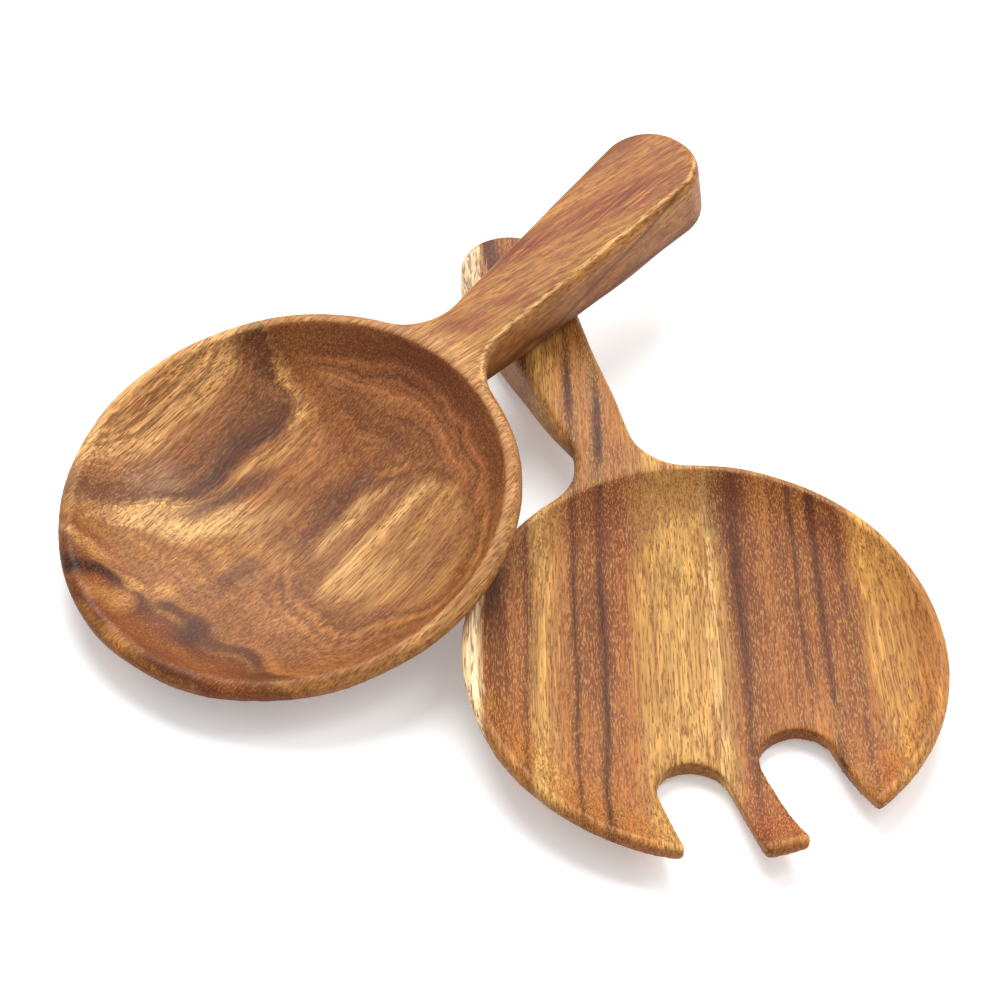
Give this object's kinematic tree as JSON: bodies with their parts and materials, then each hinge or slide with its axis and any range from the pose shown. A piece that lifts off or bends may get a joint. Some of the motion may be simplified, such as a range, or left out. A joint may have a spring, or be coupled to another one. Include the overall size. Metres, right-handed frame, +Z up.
{
  "type": "salad server pair",
  "caption": "Carved wooden salad servers: a round-bowled spoon lying across the handle of a shallow round fork with slotted tines, each with a short thick grip.",
  "frame": {"origin": "centre of the pair's bounding box, on the surface that both servers rest on", "axes": "+Z up from that surface, +X to the right of the picture, towards the fork's dish, +Y away from the viewer, towards the handles' ends"},
  "size_m": [0.2274, 0.2292, 0.0449],
  "materials": {
    "oiled_acacia_spoon": "sanded smooth and oiled, satin",
    "oiled_acacia_fork": "sanded smooth and oiled, satin"
  },
  "bodies": {
    "fork": {"salad_fork": "oiled_acacia_fork"},
    "spoon": {"salad_spoon": "oiled_acacia_spoon"}
  },
  "joints": [
    {"name": "spoon_lift", "type": "slide", "parent": "fork", "child": "spoon", "axis": [0, 0, 1], "range_m": [0, 0.08]}
  ]
}
